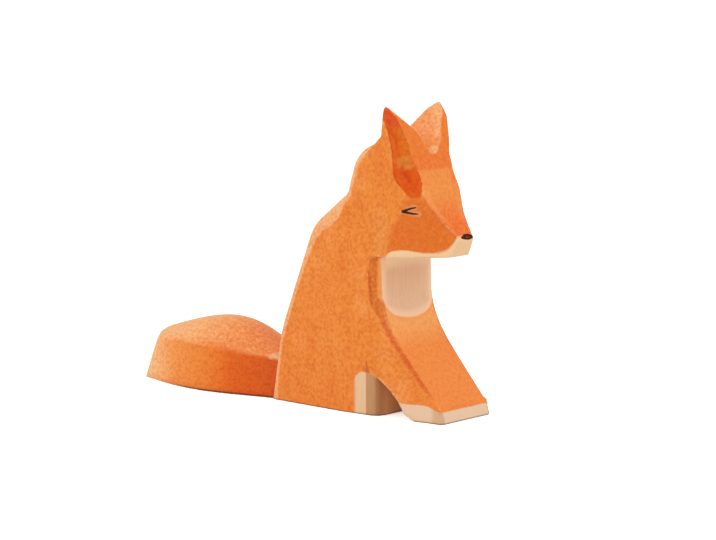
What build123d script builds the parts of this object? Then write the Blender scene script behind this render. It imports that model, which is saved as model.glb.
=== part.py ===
from build123d import *
from math import atan2, cos, radians, sin, sqrt, tan
import os

# Carved wooden fox that sits on straight forelegs, with its tail laid out behind it.
# +X is the way the fox faces and Z = 0 is the surface it stands on. Lengths are in millimetres.
# Depths are measured back from the tips of the forepaws, heights up from the floor, and insets
# in from the side face of the board.

# Board that the body and the tail are sawn from
board_thickness = 25.0
cut_overrun = 8.0

# Side outline of the body, steps along the fox from the forepaws to the back
chin_depth = 3.2
nose_depth = 0.3
muzzle_length = 7.0
forehead_lean = 6.9
ear_lean = 6.5
ear_root_width = 9.6
crown_length = 9.3
nape_step = 3.6
shoulder_length = 12.9
back_length = 12.6
rump_step = 3.7
chest_depth = 22.3

# Side outline of the body, steps upwards from the floor to the tips of the ears
jaw_height = 46.4
chin_lift = 0.6
nose_rise = 5.8
muzzle_rise = 7.2
forehead_rise = 16.3
ear_rise = 14.3
crown_drop = 10.1
crown_fall = 3.7
nape_drop = 12.2
shoulder_drop = 10.1
flank_height = 21.6
chest_corner_height = 28.0

# Rounded corners of the side outline
nose_radius = 0.6
stop_radius = 5.0
brow_radius = 2.5
ear_front_radius = 8.0
ear_tip_radius = 0.6
ear_rear_radius = 1.4
crown_radius = 10.0
nape_radius = 3.5
shoulder_radius = 14.0
flank_radius = 34.0
chest_radius = 26.0
toe_radius = 1.0

# Paws, and the sawn arch between them under the belly
forepaw_length = 10.3
forepaw_height = 4.5
forepaw_lean = 1.5
toe_length = 3.2
toe_rise = 1.5
heel_length = 3.5
heel_height = 1.7
hindpaw_depth = 22.9
arch_height = 10.7
arch_bow = 1.0
hindpaw_corner_radius = 3.2
foreleg_side_cut = 0.9
saw_kerf = 0.7
saw_kerf_length = 5.6
saw_kerf_pitch = 36.0

# Plan outline of the head, from the nose to the cheeks
nose_width = 6.0
muzzle_width = 9.2
eye_depth = 8.6
eye_width = 15.6
cheek_depth = 15.5
cheek_width = 23.4

# Backs of the ears, from the brow to the outer edge, the ridge and the middle, seen from above
ear_outer_length = 8.2
ear_ridge_length = 11.3
ear_ridge_inset = 6.4
ear_middle_length = 9.6
ear_ridge_drop = 8.3
ear_back_pitch = 6.5
ear_heel_length = 3.0
ear_heel_rise = 1.2

# Notch between the ears
notch_depth = 9.2
notch_floor_width = 3.0
notch_floor_radius = 1.5
notch_pitch = 30.0
notch_offset = 1.8

# Hollow carved in the outer side of each ear, down to the eye
hollow_length = 26.5
hollow_depth = 4.2

# Bevels and rounded edges
back_edge_radius = 4.6
haunch_side_cut = 2.8
chest_bevel_width = 4.6
chest_bevel_depth = 1.1

# Tail
tail_length = 58.2
tail_side_cut = 0.1
tail_wall_height = 14.2
tail_crest_height = 22.2
tail_tip_slope = 6.2
tail_tip_width = 7.4
tail_tip_bevel = 1.9

# Dowel between the tail and the body
dowel_diameter = 6.0
dowel_length = 24.0
dowel_height = 7.6
dowel_glue_gap = 0.1
dowel_end_gap = 1.0
dowel_chamfer = 0.6
dowel_groove_width = 0.6
dowel_groove_depth = 0.35
dowel_groove_count = 8

# Places that follow from the sizes above
half_board = board_thickness / 2
nose_height = jaw_height + nose_rise
stop_height = nose_height + muzzle_rise
brow_height = stop_height + forehead_rise
ear_height = brow_height + ear_rise
crown_height = ear_height - crown_drop
crown_rear_height = crown_height - crown_fall
nape_height = crown_rear_height - nape_drop
shoulder_height = nape_height - shoulder_drop
toe_height = forepaw_height + toe_rise
brow_depth = muzzle_length + forehead_lean
ear_tip_depth = brow_depth + ear_lean
ear_outer_depth = brow_depth + ear_outer_length
ear_ridge_depth = brow_depth + ear_ridge_length
ear_middle_depth = brow_depth + ear_middle_length
ear_rear_depth = brow_depth + ear_root_width
crown_depth = ear_rear_depth + crown_length
nape_depth = crown_depth + nape_step
shoulder_depth = nape_depth + shoulder_length
flank_depth = shoulder_depth + back_length
body_length = flank_depth + rump_step
front_x = (body_length + tail_length) / 2
seat_x = front_x - body_length
tail_width = board_thickness - 2 * tail_side_cut

# Flat on the lower back where the tail seats, with the dowel square to it
seat_lean = atan2(rump_step, flank_height)
seat_plane = Plane(
    origin=(seat_x + dowel_height * tan(seat_lean), 0, dowel_height),
    x_dir=(0, 1, 0),
    z_dir=(-cos(seat_lean), 0, sin(seat_lean)),
)


def side(depth, height):
    """Point of the side view, from its depth behind the paw tips and its height."""
    return (front_x - depth, height)


def plan(depth, inset):
    """Point of the view from above on the -Y side, from its depth and its inset."""
    return (front_x - depth, inset - half_board)


def chest_front(height):
    """Depth of the chest and the forelegs at a height: an arc between two straight lines."""
    leg_angle = atan2(chest_corner_height - toe_height, chest_depth - toe_length)
    arc_reach = chest_radius * tan((radians(90) - leg_angle) / 2)
    arc_centre_height = chest_corner_height + arc_reach
    if height >= arc_centre_height:
        return chest_depth
    if height >= chest_corner_height - arc_reach * sin(leg_angle):
        drop = arc_centre_height - height
        return chest_depth - chest_radius + sqrt(chest_radius**2 - drop**2)
    return toe_length + (height - toe_height) / tan(leg_angle)


def foreleg_inset(depth):
    """Inset of the side of a foreleg, which narrows in plan from the chest to the paw."""
    return foreleg_side_cut * max(1 - depth / chest_depth, 0)


def knife_cut(stations):
    """Lofts a cutter through level sections: left edge, floor and right edge of the cut at each."""
    with BuildPart() as cutter:
        for height, left, floor, right in stations:
            beyond_left = (2 * left[0] - floor[0], 2 * left[1] - floor[1])
            beyond_right = (2 * right[0] - floor[0], 2 * right[1] - floor[1])
            with BuildSketch(Plane.XY.offset(height)):
                with BuildLine():
                    Polyline(
                        plan(*beyond_left),
                        plan(*floor),
                        plan(*beyond_right),
                        plan(beyond_right[0], -cut_overrun),
                        plan(beyond_left[0], -cut_overrun),
                        close=True,
                    )
                make_face()
        loft(ruled=True)
    return cutter.part


# Ear hollow: height down from the ear tip, then depth and inset of its rear edge, its floor and
# its front ridge. Heights are shares of its length, depths of the ear's root, insets of its depth.
hollow_shares = (
    (0.02, (0.79, -0.04), (0.72, -0.03), (0.66, -0.02)),
    (0.18, (0.73, 0.00), (0.60, 0.24), (0.31, 0.22)),
    (0.36, (0.55, 0.00), (0.43, 0.44), (0.06, 0.56)),
    (0.56, (0.43, 0.00), (0.33, 0.56), (-0.07, 0.86)),
    (0.76, (0.37, 0.00), (0.16, 0.88), (-0.26, 1.02)),
    (0.90, (0.14, 0.22), (-0.09, 0.92), (-0.39, 0.96)),
    (1.04, (-0.22, 0.40), (-0.34, 0.70), (-0.48, 0.92)),
)
ear_hollow = knife_cut(
    [
        (
            ear_height - down_share * hollow_length,
            *[
                (brow_depth + edge[0] * ear_root_width, edge[1] * hollow_depth)
                for edge in edge_shares
            ],
        )
        for down_share, *edge_shares in hollow_shares
    ]
)

# Chest bevel: its width and depth at each height, as shares, wide at the chest and a thin line
# down the foreleg
bevel_shares = (
    (1.00, 1.13, 1.00),
    (0.82, 0.85, 0.80),
    (0.67, 0.93, 0.85),
    (0.60, 0.60, 0.80),
    (0.53, 0.34, 0.78),
    (0.42, 0.26, 0.95),
    (0.25, 0.28, 1.00),
    (0.12, 0.22, 0.80),
    (-0.02, 0.20, 0.70),
)
chest_bevel_stations = []
for height_share, width_share, depth_share in bevel_shares:
    level = height_share * jaw_height
    inner_depth = max(chest_front(level), 0)
    outer_depth = inner_depth + width_share * chest_bevel_width
    inner = (inner_depth, foreleg_inset(inner_depth) + depth_share * chest_bevel_depth)
    outer = (outer_depth, foreleg_inset(outer_depth))
    middle = ((outer[0] + inner[0]) / 2, (outer[1] + inner[1]) / 2)
    chest_bevel_stations.append((level, outer, middle, inner))
chest_bevel = knife_cut(chest_bevel_stations)

# Ears, left standing across the whole board. Two points on the front of the ear, as shares of its
# lean and of its rise, give it its curve.
ear_low_shares = (0.10, 0.28)
ear_high_shares = (0.44, 0.72)
with BuildPart() as ears:
    with BuildSketch(Plane.XZ):
        with BuildLine():
            ear_outline = (
                (muzzle_length, stop_height, 0),
                (brow_depth, brow_height, brow_radius),
                (
                    brow_depth + ear_low_shares[0] * ear_lean,
                    brow_height + ear_low_shares[1] * ear_rise,
                    ear_front_radius,
                ),
                (
                    brow_depth + ear_high_shares[0] * ear_lean,
                    brow_height + ear_high_shares[1] * ear_rise,
                    ear_front_radius,
                ),
                (ear_tip_depth, ear_height, ear_tip_radius),
                (ear_ridge_depth, ear_height - ear_ridge_drop, ear_rear_radius),
                (ear_ridge_depth, crown_rear_height, 0),
                (cheek_depth, stop_height, 0),
            )
            FilletPolyline(
                *[side(depth, height) for depth, height, radius in ear_outline],
                radius=[radius for depth, height, radius in ear_outline],
                close=True,
            )
        make_face()
    extrude(amount=half_board, both=True)

    # Backs of the ears, each with a ridge where its outer and its inner cut meet
    with BuildSketch(Plane.XY.offset(crown_height)):
        with BuildLine():
            Polyline(
                plan(ear_outer_depth, -cut_overrun),
                plan(ear_outer_depth, 0),
                plan(ear_ridge_depth, ear_ridge_inset),
                plan(ear_middle_depth, half_board),
                plan(ear_ridge_depth + cut_overrun, half_board),
                plan(ear_ridge_depth + cut_overrun, -cut_overrun),
                close=True,
            )
        make_face()
        mirror(about=Plane.XZ)
    ear_back = (tan(radians(ear_back_pitch)), 0, 1)
    extrude(amount=ear_height, dir=ear_back, both=True, mode=Mode.SUBTRACT)

    # Heels of the ears, where their sides run out on the rounded edges of the crown
    with BuildSketch(Plane.XZ):
        with BuildLine():
            Polyline(
                side(cheek_depth, crown_height),
                side(ear_outer_depth, crown_height + ear_heel_rise),
                side(ear_ridge_depth + ear_heel_length, crown_height - back_edge_radius),
                side(cheek_depth, stop_height),
                close=True,
            )
        make_face()
    extrude(amount=half_board, both=True)

# Body: sawn from the board along its side outline, then carved
with BuildPart() as body:
    with BuildSketch(Plane.XZ):
        with BuildLine():
            outline = (
                (0, 0, 0),
                (forepaw_lean, forepaw_height, toe_radius),
                (toe_length, toe_height, toe_radius),
                (chest_depth, chest_corner_height, chest_radius),
                (chest_depth, jaw_height, 0),
                (chin_depth, jaw_height + chin_lift, nose_radius),
                (nose_depth, nose_height, nose_radius),
                (muzzle_length, stop_height, stop_radius),
                (brow_depth, brow_height, 0),
                (ear_rear_depth, crown_height, 0),
                (crown_depth, crown_rear_height, crown_radius),
                (nape_depth, nape_height, nape_radius),
                (shoulder_depth, shoulder_height, shoulder_radius),
                (flank_depth, flank_height, flank_radius),
                (body_length, 0, 0),
            )
            FilletPolyline(
                *[side(depth, height) for depth, height, radius in outline],
                radius=[radius for depth, height, radius in outline],
                close=True,
            )
        make_face()
    extrude(amount=half_board, both=True)

    # Back edges, rounded over from the floor to the brow
    back_edges = (
        body.edges()
        .filter_by(Axis.Y, reverse=True)
        .filter_by(lambda edge: edge.center().Z > 0)
        .filter_by(
            lambda edge: edge.center().X < front_x - ear_rear_depth or edge.center().Z > brow_height
        )
    )
    fillet(back_edges, radius=back_edge_radius)

    # Haunches drawn in towards the tail
    with BuildSketch():
        with BuildLine():
            Polyline(
                plan(nape_depth, 0),
                plan(body_length, haunch_side_cut),
                plan(body_length + cut_overrun, haunch_side_cut),
                plan(body_length + cut_overrun, -cut_overrun),
                plan(nape_depth, -cut_overrun),
                close=True,
            )
        make_face()
        mirror(about=Plane.XZ)
    extrude(amount=nape_height, mode=Mode.SUBTRACT)

    # Forelegs narrowed towards the paws
    with BuildSketch():
        with BuildLine():
            Polyline(
                plan(chest_depth, 0),
                plan(0, foreleg_side_cut),
                plan(-cut_overrun, foreleg_side_cut),
                plan(-cut_overrun, -cut_overrun),
                plan(chest_depth, -cut_overrun),
                close=True,
            )
        make_face()
        mirror(about=Plane.XZ)
    extrude(amount=jaw_height, mode=Mode.SUBTRACT)

    add(ears.part)

    # Arch between the paws, sawn through under the belly
    with BuildSketch(Plane.XZ):
        with BuildLine():
            heel = side(forepaw_length + heel_length, heel_height)
            arch_top = side(hindpaw_depth, arch_height)
            Polyline(
                side(forepaw_length - heel_length, -cut_overrun),
                side(forepaw_length, 0),
                heel,
            )
            SagittaArc(heel, arch_top, -arch_bow)
            Polyline(
                arch_top,
                side(hindpaw_depth, -cut_overrun),
                side(forepaw_length - heel_length, -cut_overrun),
            )
        make_face()
    extrude(amount=half_board, both=True, mode=Mode.SUBTRACT)
    hindpaw_corners = (
        body.edges()
        .filter_by(Axis.Z)
        .filter_by(lambda edge: edge.center().Z < arch_height)
        .filter_by(lambda edge: edge.center().X < front_x - forepaw_length)
    )
    fillet(hindpaw_corners, radius=hindpaw_corner_radius)

    # Kerf that the saw left where its two cuts meet at the top of the arch
    kerf_plane = Plane(
        origin=(front_x - hindpaw_depth, 0, arch_height),
        x_dir=(-cos(radians(saw_kerf_pitch)), 0, sin(radians(saw_kerf_pitch))),
        z_dir=(0, -1, 0),
    )
    with BuildSketch(kerf_plane):
        Rectangle(2 * saw_kerf_length, saw_kerf)
    extrude(amount=half_board, both=True, mode=Mode.SUBTRACT)

    # Head, narrowed in plan from the cheeks to the nose
    with BuildSketch(Plane.XY.offset(jaw_height)):
        with BuildLine():
            cheek = plan(chest_depth, 0)
            nose_corner = plan(nose_depth, half_board - nose_width / 2)
            Spline(
                cheek,
                plan(cheek_depth, half_board - cheek_width / 2),
                plan(eye_depth, half_board - eye_width / 2),
                plan(muzzle_length / 2, half_board - muzzle_width / 2),
                nose_corner,
            )
            Polyline(
                nose_corner,
                plan(-cut_overrun, half_board - nose_width / 2),
                plan(-cut_overrun, -cut_overrun),
                plan(chest_depth, -cut_overrun),
                cheek,
            )
        make_face()
        mirror(about=Plane.XZ)
    extrude(amount=ear_height - jaw_height + cut_overrun, mode=Mode.SUBTRACT)

    # Notch between the ears, cut from the front with the blade tilted back. Its walls bend at a knee,
    # placed as shares of the way out to the side face and of the notch's depth
    near_knee_shares = (0.42, 0.54)
    far_knee_shares = (0.59, 0.72)
    near_reach = half_board + notch_offset
    far_reach = half_board - notch_offset
    notch_plane = Plane(
        origin=(front_x - brow_depth, notch_offset, brow_height),
        x_dir=(0, 1, 0),
        z_dir=(cos(radians(notch_pitch)), 0, -sin(radians(notch_pitch))),
    )
    with BuildSketch(notch_plane):
        with BuildLine():
            FilletPolyline(
                (-near_reach, notch_depth),
                (-near_knee_shares[0] * near_reach, near_knee_shares[1] * notch_depth),
                (-notch_floor_width / 2, 0),
                (notch_floor_width / 2, 0),
                (far_knee_shares[0] * far_reach, far_knee_shares[1] * notch_depth),
                (far_reach, notch_depth),
                (far_reach, notch_depth + cut_overrun),
                (-near_reach, notch_depth + cut_overrun),
                radius=(0, 0, notch_floor_radius, notch_floor_radius, 0, 0, 0, 0),
                close=True,
            )
        make_face()
    extrude(amount=board_thickness, both=True, mode=Mode.SUBTRACT)

    # Hollows of the ears and bevels of the chest, alike on both sides
    add(ear_hollow, mode=Mode.SUBTRACT)
    mirror(ear_hollow, about=Plane.XZ, mode=Mode.SUBTRACT)
    add(chest_bevel, mode=Mode.SUBTRACT)
    mirror(chest_bevel, about=Plane.XZ, mode=Mode.SUBTRACT)

    # Blind hole for the dowel, square to the back
    with BuildSketch(seat_plane):
        Circle(dowel_diameter / 2 + dowel_glue_gap)
    extrude(amount=-(dowel_length / 2 + dowel_end_gap), mode=Mode.SUBTRACT)

# Tail: a leaf in plan, with upright sides and a rounded crest, cut to lie flat against the back.
# Distance behind the back, half width, height of the sides and height of the crest, as shares
tail_shares = (
    (-0.09, 0.35, 0.87, 0.60),
    (0.14, 0.40, 0.87, 0.78),
    (0.37, 0.49, 0.91, 0.98),
    (0.60, 0.46, 1.00, 0.92),
    (0.84, 0.30, 0.88, 0.74),
)
tail_tip_shares = (1.02, 0.50, 0.43)
tip_bevel_share = 0.78
tail_sections = [
    (back_share, width_share * tail_width, wall_share, crest_share)
    for back_share, width_share, wall_share, crest_share in tail_shares
]
tail_sections.append((tail_tip_shares[0], tail_tip_width / 2, *tail_tip_shares[1:]))
with BuildPart() as tail:
    for back_share, half_width, wall_share, crest_share in tail_sections:
        wall = wall_share * tail_wall_height
        with BuildSketch(Plane.YZ.offset(seat_x - back_share * tail_length)):
            with BuildLine():
                Polyline((-half_width, wall), (-half_width, 0), (half_width, 0), (half_width, wall))
                ThreePointArc(
                    (half_width, wall), (0, crest_share * tail_crest_height), (-half_width, wall)
                )
            make_face()
    loft()

    # Tip, cut to a slope that eases below the crest
    tip_x = seat_x - tail_length
    with BuildSketch(Plane.XZ):
        with BuildLine():
            Polyline(
                (tip_x, 0),
                (tip_x + tip_bevel_share * tail_tip_slope, tip_bevel_share * tail_wall_height),
                (tip_x + 3 * tail_tip_slope, 2 * tail_wall_height),
                (tip_x - cut_overrun, 2 * tail_wall_height),
                (tip_x - cut_overrun, 0),
                close=True,
            )
        make_face()
    extrude(amount=tail_width, both=True, mode=Mode.SUBTRACT)

    # Side corners of the tip, taken off along its slope
    corner_y = tail_tip_bevel - tail_tip_width / 2
    with BuildSketch():
        with BuildLine():
            Polyline(
                (tip_x, corner_y),
                (tip_x + 2 * tail_tip_bevel, corner_y - 3 * tail_tip_bevel),
                (tip_x - cut_overrun, corner_y - 3 * tail_tip_bevel),
                (tip_x - cut_overrun, corner_y),
                close=True,
            )
        make_face()
        mirror(about=Plane.XZ)
    tip_slope = (tail_tip_slope, 0, tail_wall_height)
    extrude(amount=2 * tail_wall_height, dir=tip_slope, mode=Mode.SUBTRACT)

    # Root, cut to the slope of the back
    with BuildSketch(Plane.XZ):
        with BuildLine():
            Polyline(
                side(body_length, 0),
                side(flank_depth, flank_height),
                side(flank_depth - cut_overrun, flank_height),
                side(body_length - 2 * cut_overrun, 0),
                close=True,
            )
        make_face()
    extrude(amount=tail_width, both=True, mode=Mode.SUBTRACT)

    # Blind hole for the dowel
    with BuildSketch(seat_plane):
        Circle(dowel_diameter / 2 + dowel_glue_gap)
    extrude(amount=dowel_length / 2 + dowel_end_gap, mode=Mode.SUBTRACT)

# Fluted dowel, half in the body and half in the tail
with BuildPart() as tail_dowel:
    with BuildSketch(seat_plane):
        Circle(dowel_diameter / 2)
    extrude(amount=dowel_length / 2, both=True)
    chamfer(tail_dowel.edges().filter_by(GeomType.CIRCLE), length=dowel_chamfer)
    with BuildSketch(seat_plane):
        with PolarLocations(dowel_diameter / 2, dowel_groove_count):
            Rectangle(2 * dowel_groove_depth, dowel_groove_width)
    extrude(amount=dowel_length / 2, both=True, mode=Mode.SUBTRACT)

body.part.label = "body"
tail.part.label = "tail"
tail_dowel.part.label = "tail_dowel"
os.makedirs("parts", exist_ok=True)
export_step(body.part, "parts/body.step")
export_step(tail.part, "parts/tail.step")
export_step(tail_dowel.part, "parts/tail_dowel.step")
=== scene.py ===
"""Looks of a small sitting fox, sawn from board, carved by hand and coloured with thin stain.

Meshes are in metres. The stain is placed in millimetres: depths are measured back from the tips of
the forepaws, offsets across the board from its middle, heights up from the floor.
"""

import logging
import math
from collections.abc import Sequence
from dataclasses import dataclass, field
from enum import Enum

import bmesh
import bpy
import numpy as np
from mathutils import Matrix, Vector


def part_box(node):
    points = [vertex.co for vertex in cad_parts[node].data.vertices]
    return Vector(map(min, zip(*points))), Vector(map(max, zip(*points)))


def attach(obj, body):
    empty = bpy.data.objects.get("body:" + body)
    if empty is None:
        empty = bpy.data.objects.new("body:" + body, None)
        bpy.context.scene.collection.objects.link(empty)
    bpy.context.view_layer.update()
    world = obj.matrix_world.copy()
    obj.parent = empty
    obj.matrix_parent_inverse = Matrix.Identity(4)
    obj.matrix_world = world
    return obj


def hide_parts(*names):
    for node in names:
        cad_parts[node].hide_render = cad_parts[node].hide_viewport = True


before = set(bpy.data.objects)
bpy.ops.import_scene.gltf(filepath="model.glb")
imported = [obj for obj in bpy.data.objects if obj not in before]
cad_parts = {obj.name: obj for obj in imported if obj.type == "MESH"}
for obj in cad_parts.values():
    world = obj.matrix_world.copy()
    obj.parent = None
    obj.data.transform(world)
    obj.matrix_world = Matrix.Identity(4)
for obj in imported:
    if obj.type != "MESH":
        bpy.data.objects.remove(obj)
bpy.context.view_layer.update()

LOG = logging.getLogger("fox")
MM = 0.001
Colour = tuple[float, float, float, float]
Points = Sequence[tuple[float, float]]


class Mark(Enum):
    """Marks that a carved mesh carries at its points, each from 0 to 1."""

    HOLLOW = "hollow"
    BEVEL = "bevel"
    BACK_EDGE = "back_edge"
    EAR_INSIDE = "ear_inside"
    FRONT = "front"
    TOP = "top"
    WORN = "worn"
    CREASE = "crease"
    RIDGE = "ridge"
    STREAK = "streak"
    EYE_RIM = "eye_rim"


class Sheen(Enum):
    """Roughness of the kinds of surface."""

    BARE = 0.68
    STAINED = 0.52
    INK = 0.38
    PAPER = 0.9


def tone(red: int, green: int, blue: int) -> Colour:
    """Turns a colour of 0 to 255 into Blender's linear colour.

    Args:
        red: Red part.
        green: Green part.
        blue: Blue part.

    Returns:
        The linear colour with full alpha.
    """
    shares = [part / 255 for part in (red, green, blue)]
    linear = [s / 12.92 if s <= 0.04045 else ((s + 0.055) / 1.055) ** 2.4 for s in shares]
    return (*linear, 1.0)


def ease(values: np.ndarray, low: float, high: float) -> np.ndarray:
    """Rises smoothly from 0 at low to 1 at high."""
    share = np.clip((values - low) / (high - low), 0, 1)
    return share * share * (3 - 2 * share)


def fade(values: np.ndarray, low: float, high: float) -> np.ndarray:
    """Falls smoothly from 1 at low to 0 at high."""
    return 1 - ease(values, low, high)


class Tree:
    """A node tree under construction, of a material or of a shape."""

    def __init__(self, tree: bpy.types.NodeTree) -> None:
        """Starts from an empty tree.

        Args:
            tree: The tree whose nodes are replaced.
        """
        self.tree = tree
        self.tree.nodes.clear()

    def node(
        self,
        kind: str,
        settings: dict[str, object] | None = None,
        sockets: dict[str | int, object] | None = None,
    ) -> bpy.types.Node:
        """Adds a node, sets it up and fills its sockets.

        Args:
            kind: Blender's name of the type of node.
            settings: Properties of the node. "stops" fills a ramp and "points" a curve.
            sockets: Inputs by name or number, each with a value, a field or an output.

        Returns:
            The new node.
        """
        node = self.tree.nodes.new(kind)
        for name, value in (settings or {}).items():
            if name == "stops":
                self._fill_ramp(node.color_ramp, value)
            elif name == "points":
                self._fill_curve(node.mapping, value)
            else:
                setattr(node, name, value)
        for key, value in (sockets or {}).items():
            source = value.socket if isinstance(value, Field) else value
            if isinstance(source, bpy.types.NodeSocket):
                self.tree.links.new(source, node.inputs[key])
            else:
                node.inputs[key].default_value = source
        return node

    def seen(self) -> "Field":
        """Is 1 for rays that show in the picture as they are, and 0 for light that bounces."""
        rays = self.node("ShaderNodeLightPath").outputs
        return Field(self, rays["Is Camera Ray"]).most(Field(self, rays["Is Glossy Ray"]))

    @staticmethod
    def _fill_ramp(ramp: bpy.types.ColorRamp, stops: Sequence[tuple[float, Colour]]) -> None:
        """Gives a ramp its stops.

        Args:
            ramp: The ramp of a new node, which has two stops.
            stops: Places from 0 to 1 with their colours.
        """
        for _ in stops[2:]:
            ramp.elements.new(0.5)
        for element, (place, colour) in zip(ramp.elements, stops):
            element.position = place
            element.color = colour

    @staticmethod
    def _fill_curve(mapping: bpy.types.CurveMapping, points: Points) -> None:
        """Gives a curve its points.

        Args:
            mapping: The mapping of a new node, whose curve has two points.
            points: Places and values from 0 to 1.
        """
        curve = mapping.curves[0]
        for _ in points[2:]:
            curve.points.new(0.5, 0.5)
        for point, place in zip(curve.points, points):
            point.location = place
        mapping.update()


class Field:
    """A number that varies from place to place: an output of a tree, used in sums."""

    def __init__(self, tree: Tree, socket: bpy.types.NodeSocket) -> None:
        """Wraps an output.

        Args:
            tree: The tree that new nodes go into.
            socket: The output that gives the number.
        """
        self.tree = tree
        self.socket = socket

    def _math(self, operation: str, *terms: object) -> "Field":
        """Adds a Math node.

        Args:
            operation: Blender's name of the operation.
            terms: Its terms in order.

        Returns:
            The field of its result.
        """
        settings = {"operation": operation}
        node = self.tree.node("ShaderNodeMath", settings, dict(enumerate(terms)))
        return Field(self.tree, node.outputs[0])

    def __add__(self, other: object) -> "Field":
        """Sum."""
        return self._math("ADD", self, other)

    __radd__ = __add__

    def __sub__(self, other: object) -> "Field":
        """Difference."""
        return self._math("SUBTRACT", self, other)

    def __rsub__(self, other: object) -> "Field":
        """Difference from a number."""
        return self._math("SUBTRACT", other, self)

    def __mul__(self, other: object) -> "Field":
        """Product."""
        return self._math("MULTIPLY", self, other)

    def __truediv__(self, other: object) -> "Field":
        """Quotient."""
        return self._math("DIVIDE", self, other)

    def __pow__(self, other: object) -> "Field":
        """Power."""
        return self._math("POWER", self, other)

    def __abs__(self) -> "Field":
        """Size without its sign."""
        return self._math("ABSOLUTE", self)

    def least(self, other: object) -> "Field":
        """Smaller of the two."""
        return self._math("MINIMUM", self, other)

    def most(self, other: object) -> "Field":
        """Larger of the two."""
        return self._math("MAXIMUM", self, other)

    def sign(self) -> "Field":
        """Its sign: -1, 0 or 1."""
        return self._math("SIGN", self)

    def rise(self, low: float, high: float) -> "Field":
        """Eases from 0 at low to 1 at high.

        Args:
            low: Where it starts.
            high: Where it ends.

        Returns:
            The mask.
        """
        node = self.tree.node(
            "ShaderNodeMapRange",
            {"interpolation_type": "SMOOTHSTEP"},
            {"Value": self, "From Min": low, "From Max": high},
        )
        return Field(self.tree, node.outputs[0])

    def fall(self, low: float, high: float) -> "Field":
        """Eases from 1 at low to 0 at high."""
        return 1 - self.rise(low, high)

    def band(self, low: float, high: float, soft: float) -> "Field":
        """Is 1 between two values, with soft ends.

        Args:
            low: Lower end.
            high: Upper end.
            soft: Width over which each end fades.

        Returns:
            The mask.
        """
        half = soft / 2
        return self.rise(low - half, low + half) * self.fall(high - half, high + half)

    def along(self, points: Points) -> "Field":
        """Follows a line through points.

        Args:
            points: Values of this field, rising, with the result at each.

        Returns:
            The result.
        """
        places = [place for place, _ in points]
        results = [result for _, result in points]
        low, span = places[0], places[-1] - places[0]
        base, reach = min(results), max(results) - min(results)
        shares = [((place - low) / span, (result - base) / reach) for place, result in points]
        node = self.tree.node(
            "ShaderNodeFloatCurve", {"points": shares}, {"Value": (self - low) / span}
        )
        return Field(self.tree, node.outputs[0]) * reach + base


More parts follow.
